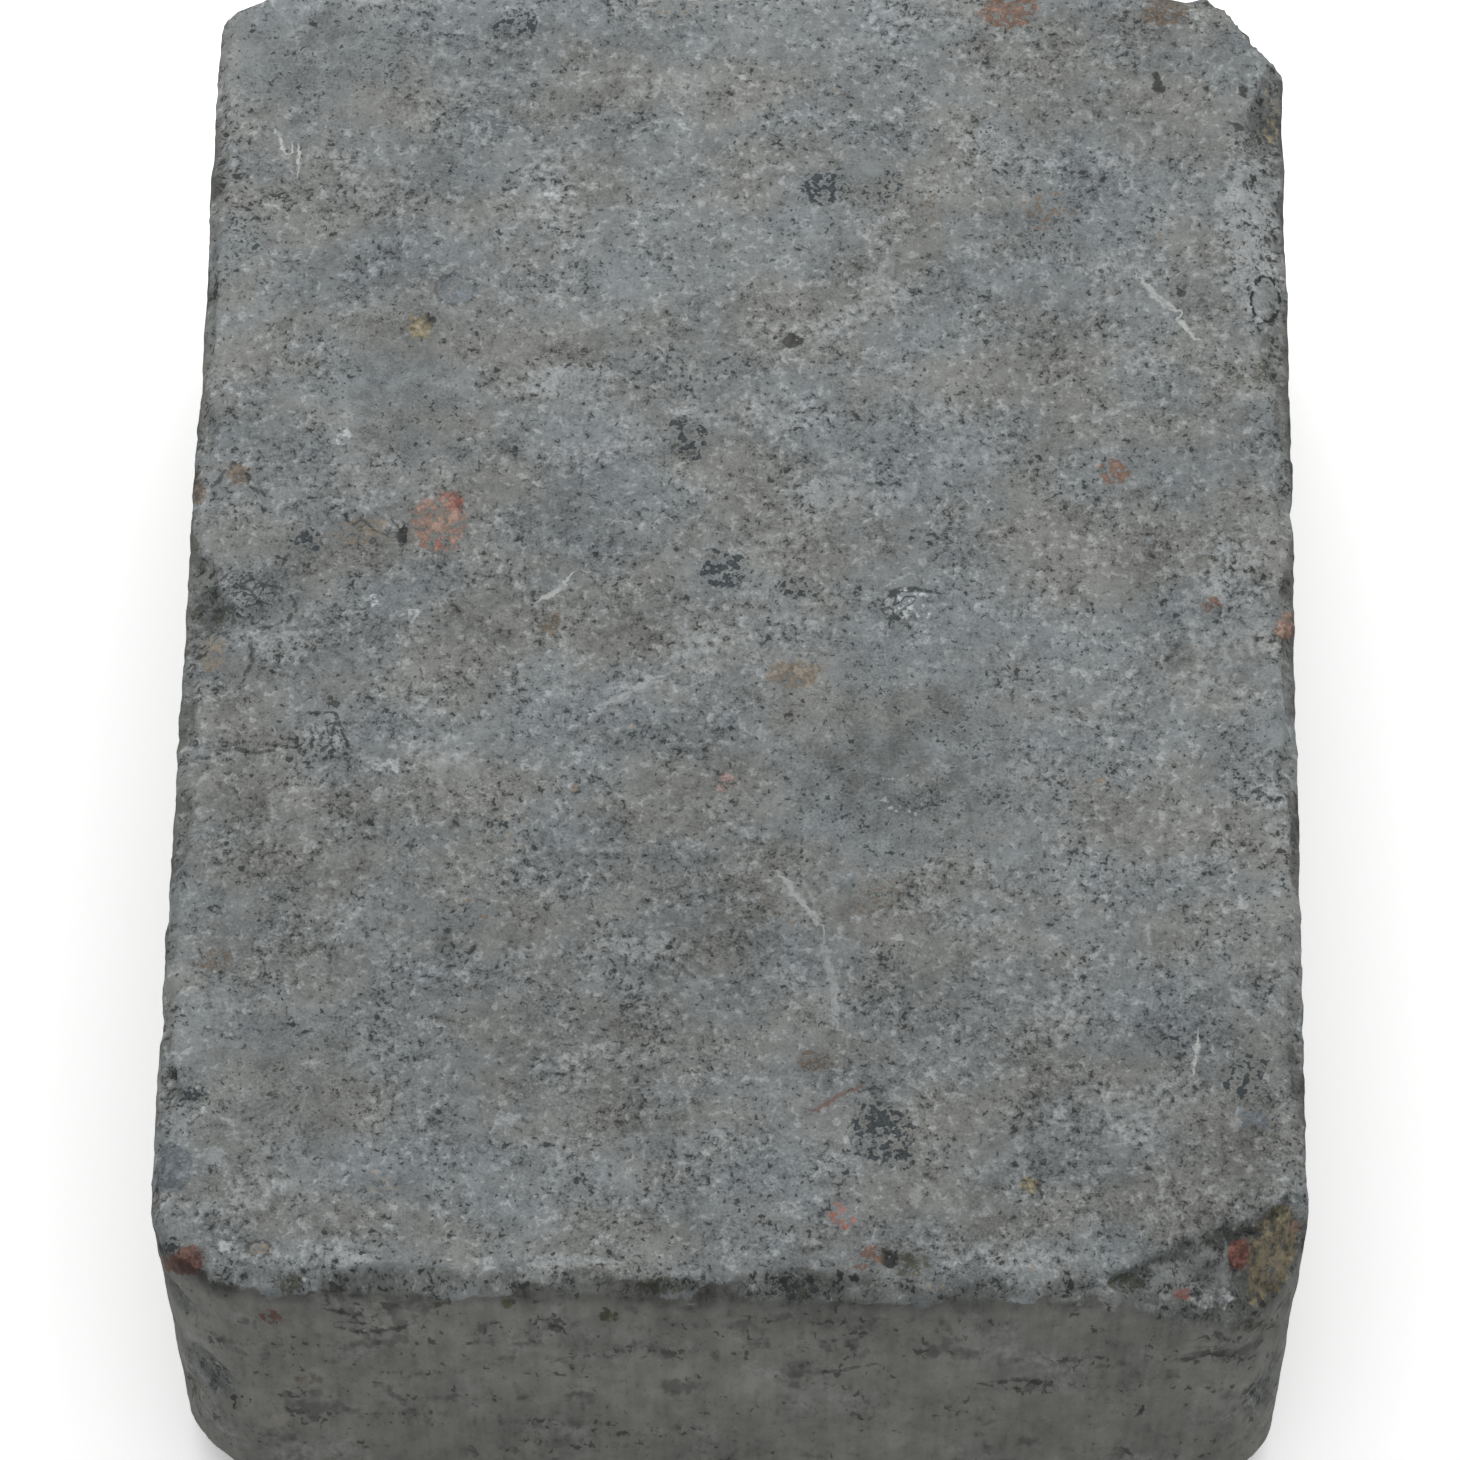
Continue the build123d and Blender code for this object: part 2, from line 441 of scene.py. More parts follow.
@dataclass(frozen=True)
class Concrete:
    """Weathered grey concrete: sandy on top, smooth where the mould stood and rough where it broke.

    A pair gives a value on sandy concrete and one on the mould's skin. Bumps are in millimetres.
    """

    cool: Colour = srgb(125, 130, 132)
    warm: Colour = srgb(128, 129, 126)
    skin: Colour = srgb(136, 137, 132)
    torn: Colour = srgb(114, 117, 114)
    roughness: float = 0.9
    gloss: float = 0.25
    bump: float = 0.7
    sand_bump: float = 0.05
    dust_bump: float = 0.012
    hollow_bump: float = -0.14
    # How dark the pores are painted, on sandy concrete and on the skin: painted shade and dirt
    pore_shade_and_dirt: tuple[float, float] = (0.82, 0.66)
    arc_share: tuple[float, float] = (1.0, 0.3)
    fleck_share: tuple[float, float] = (1.0, 0.2)
    speckle_share: tuple[float, float] = (1.0, 0.22)
    mottle_share: tuple[float, float] = (1.05, 0.85)
    # At the arrises: a paler top, worn grains and painted light, and a darker skin below, painted shade
    edge_pale_wear_and_painted_shade: tuple[float, float] = (0.16, -0.3)

    def material(self) -> bpy.types.Material:
        """Make the material.

        Returns:
            The finished material.
        """
        material = bpy.data.materials.new("weathered_concrete")
        material.use_nodes = True
        sheet = NodeSheet(material.node_tree)
        shader = material.node_tree.nodes["Principled BSDF"]
        shader.inputs["Specular IOR Level"].default_value = self.gloss
        shader.inputs["Roughness"].default_value = self.roughness
        texture = self.texture(sheet)
        # The pores are painted dark: painted shade in the hollows, and dirt.
        darkness = sheet.between(texture.skin, *self.pore_shade_and_dirt)
        pores = sheet.product(self.pores(sheet, texture), darkness)
        colour = self.marks(sheet, texture, self.cement(sheet, texture))
        colour = sheet.shaded(colour, self.shade(sheet, texture))
        colour = sheet.blend(pores, colour, Tone.PIT.value)
        sheet.feed(shader.inputs["Base Color"], self.lines(sheet, texture, colour))
        fine = sheet.weighed((texture.sand, self.sand_bump), (texture.dust, self.dust_bump))
        height = sheet.total(fine, sheet.ease(texture.sand, -0.4, -0.9, 0.0, self.hollow_bump))
        bump = sheet.add("ShaderNodeBump", {"Strength": self.bump, "Distance": MM, "Height": height})
        sheet.feed(shader.inputs["Normal"], bump.outputs["Normal"])
        return material

    @staticmethod
    def texture(sheet: NodeSheet) -> Texture:
        """Lay the noises over the stone, drawn out upright as the mould dragged them.

        Args:
            sheet: The material's tree.

        Returns:
            The noises.
        """
        here = sheet.add("ShaderNodeTexCoord").outputs["Object"]
        place = sheet.vector("MULTIPLY", here, (PER_MM, PER_MM, PER_MM * MOULD_DRAG))
        grit = sheet.noise(place, 1.1, 2.0, 0.65, 1.0)
        stir = sheet.vector("SUBTRACT", grit.outputs["Color"], (0.5, 0.5, 0.5))
        stirred = sheet.vector("ADD", place, sheet.vector("SCALE", stir, 1.1))
        upright = sheet.vector("MULTIPLY", place, (1.0, 1.0, 0.12))
        sand = sheet.spread(grit.outputs[0])
        wave = sheet.swing(stirred, 0.4, 2.0, 0.6, 5.0)
        broken = sheet.carried("broken")
        line = sheet.total(sheet.carried("line"), sheet.product(wave, 0.8), sheet.product(sand, 0.5))
        whole = sheet.math("MULTIPLY_ADD", broken, -SKIN_LOST, 1.0)
        return Texture(
            sand=sand,
            grain=sheet.swing(stirred, 1.05, 1.5, 0.6, 2.0),
            dust=sheet.swing(place, 3.6, 1.0, 0.6, 3.0),
            wave=wave,
            drawn=sheet.swing(upright, 1.6, 0.0, 0.5, 6.0),
            skin=sheet.product(sheet.ease(line, 1.35, 1.75), whole),
            broken=broken,
        )

    def pores(self, sheet: NodeSheet, texture: Texture) -> Socket:
        """Find the small pores, painted shade and dirt, lying as arcs round the grains or as pits between
        them.

        Args:
            sheet: The material's tree.
            texture: The surface's noises.

        Returns:
            How far a place is a pore.
        """
        shy = sheet.weighed(
            (sheet.carried("bare"), 0.32),
            (texture.skin, 0.12),
            (sheet.product(sheet.carried("seam"), texture.skin), -0.4),
            (sheet.carried("pitting"), -0.8),
            (texture.broken, -0.2),
        )
        ring = sheet.math("ABSOLUTE", sheet.math("SUBTRACT", texture.grain, 0.05))
        hollows = sheet.ease(sheet.total(texture.sand, shy), -0.25, -0.65)
        share = sheet.between(texture.skin, *self.arc_share)
        arcs = sheet.product(sheet.ease(ring, 0.19, 0.06), hollows, share)
        pits = sheet.ease(sheet.total(texture.grain, shy), -0.6, -0.95)
        smudge = sheet.ease(sheet.total(texture.wave, shy), -0.35, -1.0, 0.0, 0.75)
        smudge = sheet.product(smudge, texture.skin)
        pores = sheet.math("MAXIMUM", sheet.math("MAXIMUM", arcs, pits), smudge)
        pebble = sheet.ease(sheet.carried("pebble_field"), 0.0, 0.3)
        pebble = sheet.product(pebble, sheet.carried("pebble_tone", "Alpha"))
        return sheet.product(pores, sheet.math("MULTIPLY_ADD", pebble, -0.9, 1.0))

    def cement(self, sheet: NodeSheet, texture: Texture) -> Socket:
        """Colour the cement and its pale grains.

        Args:
            sheet: The material's tree.
            texture: The surface's noises.

        Returns:
            The colour.
        """
        colour = sheet.blend(sheet.ease(sheet.carried("hue"), -0.6, 0.6), self.cool, self.warm)
        colour = sheet.blend(texture.skin, colour, self.skin)
        colour = sheet.blend(sheet.product(texture.broken, 0.7), colour, self.torn)
        film = sheet.product(sheet.carried("milk"), sheet.ease(texture.sand, -0.5, 0.5))
        colour = sheet.blend(film, colour, Tone.CHALK.value)
        fleck = sheet.ease(texture.grain, 0.3, 0.7, 0.0, 0.4)
        fleck = sheet.product(fleck, sheet.between(texture.skin, *self.fleck_share))
        return sheet.blend(fleck, colour, Tone.CHALK.value)

    def shade(self, sheet: NodeSheet, texture: Texture) -> Socket:
        """Find how light or dark the surface is from grain to grain and from place to place.

        Args:
            sheet: The material's tree.
            texture: The surface's noises.

        Returns:
            What its colour is multiplied by.
        """
        speckle = sheet.weighed((texture.sand, 0.22), (texture.grain, 0.15), (texture.dust, 0.26))
        speckle = sheet.product(speckle, sheet.between(texture.skin, *self.speckle_share))
        speckle = sheet.product(speckle, sheet.ease(sheet.carried("bare"), -0.3, 0.6, 1.1, 0.6))
        drawn = sheet.product(texture.drawn, texture.skin, 0.05)
        # At the arrises the top is paler, worn grains and painted light, and the skin below has painted
        # shade.
        worn = sheet.product(sheet.carried("edge"), sheet.between(texture.skin, *self.edge_pale_wear_and_painted_shade))
        # Slow changes of tone, with painted light towards the back and painted shade under the top's edge.
        mottle_and_painted_light = sheet.product(sheet.carried("mottle_and_painted_light"), sheet.between(texture.skin, *self.mottle_share))
        return sheet.total(1.0, speckle, drawn, worn, mottle_and_painted_light)

    @staticmethod
    def marks(sheet: NodeSheet, texture: Texture, colour: Socket) -> Socket:
        """Show the smears and the pebbles, half covered by cement.

        Args:
            sheet: The material's tree.
            texture: The surface's noises.
            colour: The concrete's colour.

        Returns:
            The colour with the marks.
        """
        streak = sheet.weighed((texture.grain, 0.7), (texture.sand, 0.6))
        amount = sheet.carried("smear_tone", "Alpha")
        cover = sheet.total(streak, sheet.product(texture.wave, 0.5))
        cover = sheet.total(cover, sheet.math("MULTIPLY_ADD", amount, 2.4, -1.2))
        smear = sheet.product(sheet.ease(cover, -0.4, 0.5), sheet.ease(amount, 0.0, 0.5))
        colour = sheet.blend(smear, colour, sheet.carried("smear_tone", "Color"))
        ragged = sheet.weighed((texture.wave, 0.8), (texture.sand, 0.4))
        light = sheet.ease(streak, -0.6, 0.9, 0.65, 1.15)
        for kind in ("stray", "pebble"):
            bare = sheet.math("MULTIPLY_ADD", sheet.carried(kind + "_tone", "Alpha"), 2.0, -1.0)
            shown = sheet.ease(sheet.total(streak, bare), -0.16, 0.16, 0.0, 0.92)
            inside = sheet.total(sheet.carried(kind + "_field"), ragged)
            shown = sheet.product(shown, sheet.ease(inside, -0.1, 0.35))
            tone = sheet.shaded(sheet.carried(kind + "_tone", "Color"), light)
            colour = sheet.blend(shown, colour, tone)
        return colour

    @staticmethod
    def lines(sheet: NodeSheet, texture: Texture, colour: Socket) -> Socket:
        """Draw the dark rims of pebbles, the cracks, the scratches and painted shadow lines, broken up by
        the grain.

        Args:
            sheet: The material's tree.
            texture: The surface's noises.
            colour: The surface's colour.

        Returns:
            The colour with the lines.
        """
        stray = sheet.weighed((texture.wave, 0.2), (texture.sand, 0.2))
        rim = sheet.math("ABSOLUTE", sheet.total(sheet.carried("pebble_field"), stray))
        rim = sheet.product(sheet.ease(rim, 0.3, 0.1), sheet.carried("pebble_rim"))
        rim = sheet.product(rim, sheet.ease(texture.grain, 0.5, 0.1))
        # The dark rims and cracks are painted shade and dirt, and two lines are the painted shadow of a
        # step.
        colour = sheet.blend(rim, colour, Tone.PIT.value)
        side = sheet.total(sheet.carried("crack_side"), texture.wave, sheet.product(texture.sand, 0.5))
        crack = sheet.ease(sheet.math("ABSOLUTE", side), 1.0, 0.35)
        crack = sheet.product(crack, sheet.carried("crack_and_shadow_tone", "Alpha"))
        crack = sheet.product(crack, sheet.ease(texture.grain, 0.7, 0.0))
        return sheet.blend(crack, colour, sheet.carried("crack_and_shadow_tone", "Color"))


@dataclass
class Weathering:
    """The relief, the mottling and some painted light and shade of the surface, as a Geometry Nodes tree.

    Lengths are in metres, and the wander of the skin's line is in millimetres.
    """

    undulation: float = 0.00016
    sand_relief: float = 0.00008
    break_relief: float = 0.0008
    edge_relief: float = 0.00026
    skin_wander: float = 4.4
    stray_density: float = 1e5
    stray_spacing: float = 0.010
    stray_size: float = 0.0030
    stray_rise: float = 0.00015
    seed: int = 7

    def settings(self, finish: bpy.types.Material | None) -> dict[str, Any]:
        """Name the tree's inputs and what they are set to, with the surface's material last."""
        sizes = {name.replace("_", " ").title(): size for name, size in asdict(self).items()}
        return sizes | {"Finish": finish}

    def apply(self, base: bpy.types.Object, finish: bpy.types.Material) -> bpy.types.Mesh:
        """Raise the relief on a base.

        Args:
            base: The settled lattice.
            finish: The material of the surface.

        Returns:
            The shaped surface as a plain mesh.
        """
        tree = self.tree()
        modifier = base.modifiers.new("weathering", "NODES")
        modifier.node_group = tree
        values = self.settings(finish)
        for item in tree.interface.items_tree:
            if item.name in values:
                modifier[item.identifier] = values[item.name]
        shaped = base.evaluated_get(bpy.context.evaluated_depsgraph_get())
        mesh = bpy.data.meshes.new_from_object(shaped)
        base.modifiers.remove(modifier)
        return mesh

    @staticmethod
    def carried(sheet: NodeSheet, name: str) -> Socket:
        """Read what the lattice's points carry under a name."""
        return sheet.add("GeometryNodeInputNamedAttribute", {"Name": name}, data_type="FLOAT").outputs[0]

    def tree(self) -> bpy.types.NodeTree:
        """Build the tree.

        Returns:
            The tree.
        """
        tree = bpy.data.node_groups.new("stone_weathering", "GeometryNodeTree")
        kinds = {"Seed": "NodeSocketInt", "Finish": "NodeSocketMaterial"}
        tree.interface.new_socket("Geometry", in_out="INPUT", socket_type="NodeSocketGeometry")
        for name in self.settings(None):
            tree.interface.new_socket(name, in_out="INPUT", socket_type=kinds.get(name, "NodeSocketFloat"))
        tree.interface.new_socket("Geometry", in_out="OUTPUT", socket_type="NodeSocketGeometry")
        sheet = NodeSheet(tree)
        given = sheet.add("NodeGroupInput").outputs
        here = sheet.add("GeometryNodeInputPosition").outputs[0]
        place = sheet.vector("SCALE", here, PER_MM)
        stray, tone, rise = self.strays(sheet, given, here)
        line = self.line(sheet, given, place)
        whole = sheet.math("MULTIPLY_ADD", self.carried(sheet, "broken"), -SKIN_LOST, 1.0)
        skin = sheet.product(sheet.ease(line, 1.2, 2.2), whole)
        lift = sheet.total(self.relief(sheet, given, place, skin), rise)
        lift = sheet.product(lift, sheet.math("SUBTRACT", 1.0, self.carried(sheet, "bed")))
        offset = sheet.vector("SCALE", sheet.add("GeometryNodeInputNormal").outputs[0], lift)
        shaped = self.kept(sheet, given["Geometry"], "stray_field", stray, "FLOAT")
        shaped = self.kept(sheet, shaped, "stray_tone", tone, "FLOAT_COLOR")
        for name, value in self.mottling(sheet, place, line, skin).items():
            shaped = self.kept(sheet, shaped, name, value, "FLOAT")
        shaped = self.kept(sheet, shaped, "line", line, "FLOAT")
        shaped = sheet.add("GeometryNodeSetPosition", {"Geometry": shaped, "Offset": offset}).outputs[0]
        grounded = sheet.vector("MAXIMUM", here, (-1.0, -1.0, 0.0))
        shaped = sheet.add("GeometryNodeSetPosition", {"Geometry": shaped, "Position": grounded}).outputs[0]
        shaped = sheet.add("GeometryNodeRealizeInstances", {"Geometry": shaped}).outputs[0]
        feeds = {"Geometry": shaped, "Material": given["Finish"]}
        shaped = sheet.add("GeometryNodeSetMaterial", feeds).outputs[0]
        sheet.feed(sheet.add("NodeGroupOutput").inputs[0], shaped)
        return tree

    @staticmethod
    def kept(sheet: NodeSheet, shape: Socket, name: str, value: Socket, kind: str) -> Socket:
        """Let a surface's points carry a value, of the kind that Blender names, under a name."""
        feeds = {"Geometry": shape, "Name": name, "Value": value}
        return sheet.add("GeometryNodeStoreNamedAttribute", feeds, data_type=kind, domain="POINT").outputs[0]

    def line(self, sheet: NodeSheet, given: Any, place: Socket) -> Socket:
        """Find how far places lie below the ragged line where the mould's skin ends.

        Args:
            sheet: The tree.
            given: The tree's inputs.
            place: Place on the stone, in millimetres.

        Returns:
            The distance, in millimetres.
        """
        below = self.carried(sheet, "below")
        wander = sheet.product(sheet.swing(place, 0.1, 4.0, 0.65, 79.0), given["Skin Wander"])
        return sheet.total(below, sheet.product(wander, sheet.ease(below, 0.0, 0.6)))

    def relief(self, sheet: NodeSheet, given: Any, place: Socket, skin: Socket) -> Socket:
        """Work out how far the surface stands out.

        Args:
            sheet: The tree.
            given: The tree's inputs.
            place: Place on the stone, in millimetres.
            skin: How far the mould's skin shows.

        Returns:
            The height, in metres.
        """
        waves = sheet.product(sheet.swing(place, 0.11, 2.0, 0.5, 61.0), given["Undulation"])
        sand = sheet.product(sheet.swing(place, 0.7, 2.0, 0.6, 62.0), given["Sand Relief"])
        sand = sheet.product(sand, sheet.between(skin, 1.0, 0.35))
        torn = sheet.product(sheet.swing(place, 0.3, 4.0, 0.6, 63.0), given["Break Relief"])
        torn = sheet.product(torn, self.carried(sheet, "broken"))
        worn = sheet.product(sheet.swing(place, 0.28, 4.0, 0.6, 64.0), given["Edge Relief"])
        worn = sheet.product(worn, self.carried(sheet, "edge"))
        return sheet.total(waves, sand, torn, worn, self.carried(sheet, "mark_rise"))

    def strays(self, sheet: NodeSheet, given: Any, here: Socket) -> tuple[Socket, Socket, Socket]:
        """Scatter pebbles through the concrete.

        Args:
            sheet: The tree.
            given: The tree's inputs.
            here: Place on the stone.

        Returns:
            How deep a place lies in a pebble, in millimetres, the pebble's colour, and how far the place
            stands out, in metres.
        """
        feeds = {
            "Mesh": given["Geometry"],
            "Distance Min": given["Stray Spacing"],
            "Density Max": given["Stray Density"],
            "Seed": given["Seed"],
        }
        scatter = sheet.add("GeometryNodeDistributePointsOnFaces", feeds, distribute_method="POISSON")
        strewn = scatter.outputs["Points"]
        nearest = sheet.add("GeometryNodeSampleNearest", {"Geometry": strewn}, domain="POINT").outputs[0]

        def of_nearest(value: Socket, kind: str) -> Socket:
            """Read a value at the nearest pebble."""
            feeds = {"Geometry": strewn, "Value": value, "Index": nearest}
            return sheet.add("GeometryNodeSampleIndex", feeds, data_type=kind, domain="POINT").outputs[0]

        def drawn(low: float, high: float, turn: int) -> Socket:
            """Draw a value for the nearest pebble."""
            made = sheet.add("FunctionNodeRandomValue", {2: low, 3: high, "Seed": turn}, data_type="FLOAT")
            return of_nearest(made.outputs[1], "FLOAT")

        away = sheet.vector("DISTANCE", here, of_nearest(here, "FLOAT_VECTOR"))
        radius = sheet.product(given["Stray Size"], drawn(0.2, 1.0, 1))
        inner = sheet.math("SUBTRACT", radius, away)
        rise = sheet.product(sheet.ease(inner, -0.0003, 0.001), drawn(-0.5, 1.0, 2), given["Stray Rise"])
        ramp = sheet.add("ShaderNodeValToRGB", {"Fac": drawn(0.0, 1.0, 3)})
        ramp.color_ramp.interpolation = "CONSTANT"
        for number, stray_tone in enumerate(STRAY_TONES):
            stops = ramp.color_ramp.elements
            stop = stops[number] if number < len(stops) else stops.new(1.0)
            stop.position = number / len(STRAY_TONES)
            stop.color = stray_tone.value
        parts = sheet.add("FunctionNodeSeparateColor", {0: ramp.outputs[0]}).outputs
        skinned = sheet.ease(self.carried(sheet, "below"), 1.0, 4.0, 1.0, 0.75)
        hidden = sheet.ease(self.carried(sheet, "seen"), 0.0, 1.0, 1.0, 0.45)
        bare = sheet.product(drawn(0.05, 0.65, 4), skinned, hidden)
        feeds = {0: parts[0], 1: parts[1], 2: parts[2], 3: bare}
        tone = sheet.add("FunctionNodeCombineColor", feeds).outputs[0]
        return sheet.product(inner, PER_MM), tone, rise

    @staticmethod
    def mottling(sheet: NodeSheet, place: Socket, line: Socket, skin: Socket) -> dict[str, Socket]:
        """Work out the slow changes of tone over the surface, painted light and shade among them.

        Args:
            sheet: The tree.
            place: Place on the stone, in millimetres.
            line: How far below the skin's ragged upper line a place lies, in millimetres.
            skin: How far the mould's skin shows.

        Returns:
            The values by name.
        """
        drawn = sheet.vector("MULTIPLY", place, (1.0, 1.0, MOULD_DRAG))
        smeared = sheet.vector("MULTIPLY", place, (0.65, 1.0, MOULD_DRAG))
        dragged = sheet.vector("MULTIPLY", place, (1.0, 1.0, 0.06))
        layered = sheet.vector("MULTIPLY", place, (0.2, 0.2, 1.0))
        along = sheet.vector("DOT_PRODUCT", place, (0.0, 1.0, 0.0))
        bare = sheet.swing(drawn, 0.19, 3.0, 0.55, 71.0)
        # The mould's sides are darker towards their top: fully within 4 mm of the ragged line, fading out by
        # 14 mm.
        darker_near_top = sheet.product(sheet.ease(line, 14.0, 4.0, 0.0, -0.12), skin)
        # Painted shade and grime: a patchy darker band 1.2 to 6 mm below the ragged line where the skin
        # begins.
        patchy = sheet.ease(sheet.swing(place, 0.06, 2.0, 0.5, 80.0), -0.1, 0.5, 0.0, -0.2)
        patchy_shade_and_grime = sheet.product(sheet.ease(line, 1.2, 1.8), sheet.ease(line, 6.0, 2.6), patchy)
        mottle_and_painted_light = sheet.total(
            darker_near_top,
            patchy_shade_and_grime,
            # Painted light: lighter towards the back.
            sheet.product(along, 0.0008),
            sheet.product(bare, 0.08),
            sheet.product(sheet.swing(drawn, 0.035, 2.0, 0.5, 72.0), 0.15),
            sheet.product(sheet.swing(drawn, 0.14, 3.0, 0.6, 73.0), 0.2),
            sheet.product(sheet.swing(drawn, 0.45, 1.0, 0.5, 74.0), 0.18),
            sheet.product(sheet.swing(dragged, 0.55, 2.0, 0.6, 75.0), 0.05),
        )
        return {
            "bare": bare,
            "mottle_and_painted_light": mottle_and_painted_light,
            "hue": sheet.swing(smeared, 0.09, 3.0, 0.6, 76.0),
            "milk": sheet.ease(sheet.swing(smeared, 0.12, 4.0, 0.65, 77.0), 0.1, 0.8, 0.0, 0.5),
            "seam": sheet.ease(sheet.swing(layered, 0.22, 2.0, 0.5, 78.0), 0.0, 0.6),
        }


@dataclass
class PavingStone:
    """The stone's visible surface: the CAD solid's own, with the relief of worn concrete.

    Lengths are in metres, but those of marks are in millimetres, or in widths of a crack. A pair says where
    an effect begins or ends and where it is in full.
    """

    spacing: float = 0.000715
    bed_step: int = 4
    top_crowding: float = 0.2
    core_depth: float = 0.014
    ray_start: float = 0.004
    corner_radii: tuple[float, float, float, float] = (0.0105, 0.0100, 0.0075, 0.0085)
    wearing_radius: float = 0.0022
    bed_radius: float = 0.0050
    break_depths: tuple[float, float] = (0.00015, 0.0006)
    edge_reach: tuple[float, float] = (0.006, 0.0015)
    bed_reach: tuple[float, float] = (0.0004, 0.0)
    edge_pitting: float = 0.08
    pixels_per_mm: float = 9.3
    blunt: float = 2.4
    pebble_shoulder: tuple[float, float] = (-0.5, 0.7)
    smear_fade: tuple[float, float] = (0.0, 0.8)
    crack_widths: tuple[float, float] = (4.0, 3.0)
    groove_reach: float = 0.8
    groove_widths: float = 1.5
    map_size: float = 0.284
    map_gap: float = 0.002
    bed_map_share: float = 0.5
    finish: Concrete = field(default_factory=Concrete)
    weathering: Weathering = field(default_factory=Weathering)
    camera: PhotoCamera = field(default_factory=PhotoCamera)

    def build(self) -> bpy.types.Object:
        """Make the stone.

        Returns:
            The finished piece.
        """
        base = self.lattice()
        self.settle(base)
        mesh = self.weathering.apply(base, self.finish.material())
        mesh.name = NODE
        mesh.polygons.foreach_set("use_smooth", np.ones(len(mesh.polygons), bool))
        bpy.data.objects.remove(base)
        stone = bpy.data.objects.new("paving_stone_surface", mesh)
        bpy.context.scene.collection.objects.link(stone)
        return stone

    def sizes(self) -> tuple[Points, Points]:
        """Find the lowest and the highest corner of the room that the CAD solid takes."""
        low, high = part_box(NODE)
        return np.array(low), np.array(high)

    def rulings(self) -> list[Points]:
        """Rule the lattice's lines, closer together towards the wearing face.

        Returns:
            Their places along X, Y and Z.
        """
        low, high = self.sizes()
        lines = []
        for axis in range(3):
            count = int(round((high[axis] - low[axis]) / self.spacing))
            if axis == 2:
                count = int(round(count / (1 + self.top_crowding)))
            count -= count % self.bed_step
            share = np.linspace(0, 1, count + 1)
            if axis == 2:
                share = share + self.top_crowding * share * (1 - share)
            lines.append(low[axis] + share * (high[axis] - low[axis]))
        return lines

    def lattice(self) -> bpy.types.Object:
        """Make the closed box of small faces that is laid onto the solid.

        Returns:
            The box, with a flat map of its six sides.
        """
        xs, ys, zs = self.rulings()
        kept = np.zeros((len(xs), len(ys), len(zs)), bool)
        kept[[0, -1]] = kept[:, [0, -1]] = kept[:, :, -1] = True
        kept[:: self.bed_step, :: self.bed_step, 0] = True
        number = np.full(kept.shape, -1)
        number[kept] = np.arange(kept.sum())
        i, j, k = np.nonzero(kept)
        points = np.stack([xs[i], ys[j], zs[k]], 1)
        width, length, height = xs[-1] - xs[0], ys[-1] - ys[0], zs[-1] - zs[0]
        gap, second = self.map_gap, width + 2 * self.map_gap
        sides = [
            (number[:, :, -1], xs, ys, (gap, gap)),
            (number[:, 0, :], xs, zs, (second, 3 * gap + 2 * height)),
            (number[::-1, -1, :], xs, zs, (gap, 2 * gap + length)),
            (number[0, ::-1, :], ys, zs, (second, gap)),
            (number[-1, :, :], ys, zs, (second, 2 * gap + height)),
        ]
        faces, charts = [], []
        for side, along, up, corner in sides:
            quads = [side[:-1, :-1], side[1:, :-1], side[1:, 1:], side[:-1, 1:]]
            faces += np.stack(quads, -1).reshape(-1, 4).tolist()
            across, over = np.meshgrid(along - along[0] + corner[0], up - up[0] + corner[1], indexing="ij")
            grid = np.stack([across, over], -1)
            spots = [grid[:-1, :-1], grid[1:, :-1], grid[1:, 1:], grid[:-1, 1:]]
            charts.append(np.stack(spots, -2).reshape(-1, 2))
        bed = self.bed_faces(number[:, :, 0])
        faces += bed
        bed_corner = np.array((second, 4 * gap + 3 * height))
        bed_corner = bed_corner - self.bed_map_share * points[:, :2].min(0)
        charts.append(points[np.concatenate(bed), :2] * self.bed_map_share + bed_corner)
        mesh = bpy.data.meshes.new("stone_lattice")
        mesh.from_pydata(points.tolist(), [], faces)
        flat = mesh.uv_layers.new(name="OFBake")
        flat.uv.foreach_set("vector", (np.concatenate(charts) / self.map_size).astype(np.float32).ravel())
        base = bpy.data.objects.new("stone_lattice", mesh)
        bpy.context.scene.collection.objects.link(base)
        return base

    def bed_faces(self, number: Points) -> list[list[int]]:
        """Make the larger faces of the bed, which take in every point of its rim.

        Args:
            number: The points' numbers over the bed.

        Returns:
            The faces.
        """
        step = self.bed_step
        faces = []
        for i in range(0, number.shape[0] - 1, step):
            for j in range(0, number.shape[1] - 1, step):
                ring = [(i, j + s) for s in range(step)]
                ring += [(i + s, j + step) for s in range(step)]
                ring += [(i + step, j + step - s) for s in range(step)]
                ring += [(i + step - s, j) for s in range(step)]
                faces.append([int(number[p]) for p in ring if number[p] >= 0])
        return faces

